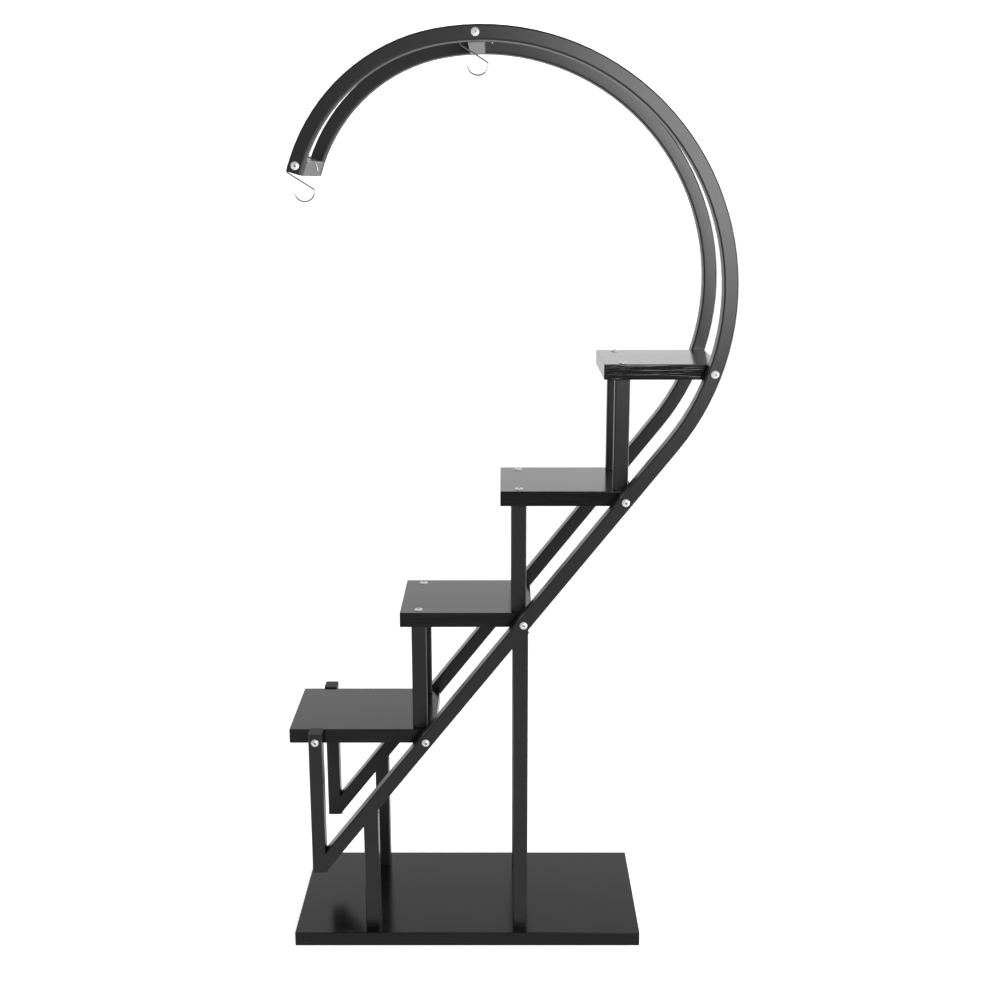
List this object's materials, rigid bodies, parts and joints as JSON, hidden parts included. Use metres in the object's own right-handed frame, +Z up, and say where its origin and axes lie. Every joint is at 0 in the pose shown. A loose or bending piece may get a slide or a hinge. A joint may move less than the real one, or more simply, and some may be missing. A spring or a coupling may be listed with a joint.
{
  "type": "tiered plant stand",
  "caption": "Tiered plant stand: a base board, stepped shelves between bent tube frames that climb and curl over into an open ring, and wire hooks that swing on cross bars",
  "frame": {"origin": "middle of the underside of the base board", "axes": "+X to the right as seen from the front, +Y to the rear, +Z up"},
  "size_m": [0.7349, 0.286, 1.532],
  "materials": {
    "board": "dark laminated board, satin, fine grain along its length",
    "frame": "satin black powder coat",
    "bar": "plain light grey, satin",
    "hook": "bright plated wire",
    "bolt": "bright plated button head",
    "insert": "plain turned brass",
    "plug": "moulded black plastic",
    "cap": "moulded black plastic, satin"
  },
  "bodies": {
    "stand": {"base_board": "board", "shelf_1": "board", "shelf_2": "board", "shelf_3": "board", "shelf_4": "board", "front_frame_tube": "frame", "rear_frame_tube": "frame", "front_leg": "frame", "rear_leg": "frame", "front_post_low": "frame", "front_post_high": "frame", "rear_post_low": "frame", "rear_post_high": "frame", "support_2_front": "frame", "support_2_rear": "frame", "support_3_front": "frame", "support_3_rear": "frame", "support_4_front": "frame", "support_4_rear": "frame", "top_bar": "bar", "end_bar": "bar", "front_side_bolts": "bolt", "rear_side_bolts": "bolt", "bar_bolts": "bolt", "shelf_top_bolts": "bolt", "shelf_under_bolts": "bolt", "base_bolts": "bolt", "board_inserts": "insert", "support_caps": "cap", "post_plugs": "plug", "bar_plugs": "plug", "leg_caps": "cap", "ring_end_caps": "cap"},
    "top_hook": {"top_hook": "hook"},
    "end_hook": {"end_hook": "hook"}
  },
  "joints": [
    {"name": "top_hook_swing", "type": "hinge", "parent": "stand", "child": "top_hook", "pos_m": [0.02133, -0.03, 1.50624], "axis": [0, 1, 0], "range_deg": [-55, 57]},
    {"name": "end_hook_swing", "type": "hinge", "parent": "stand", "child": "end_hook", "pos_m": [-0.25758, -0.03, 1.31261], "axis": [0, 1, 0], "range_deg": [-38, 75]}
  ]
}
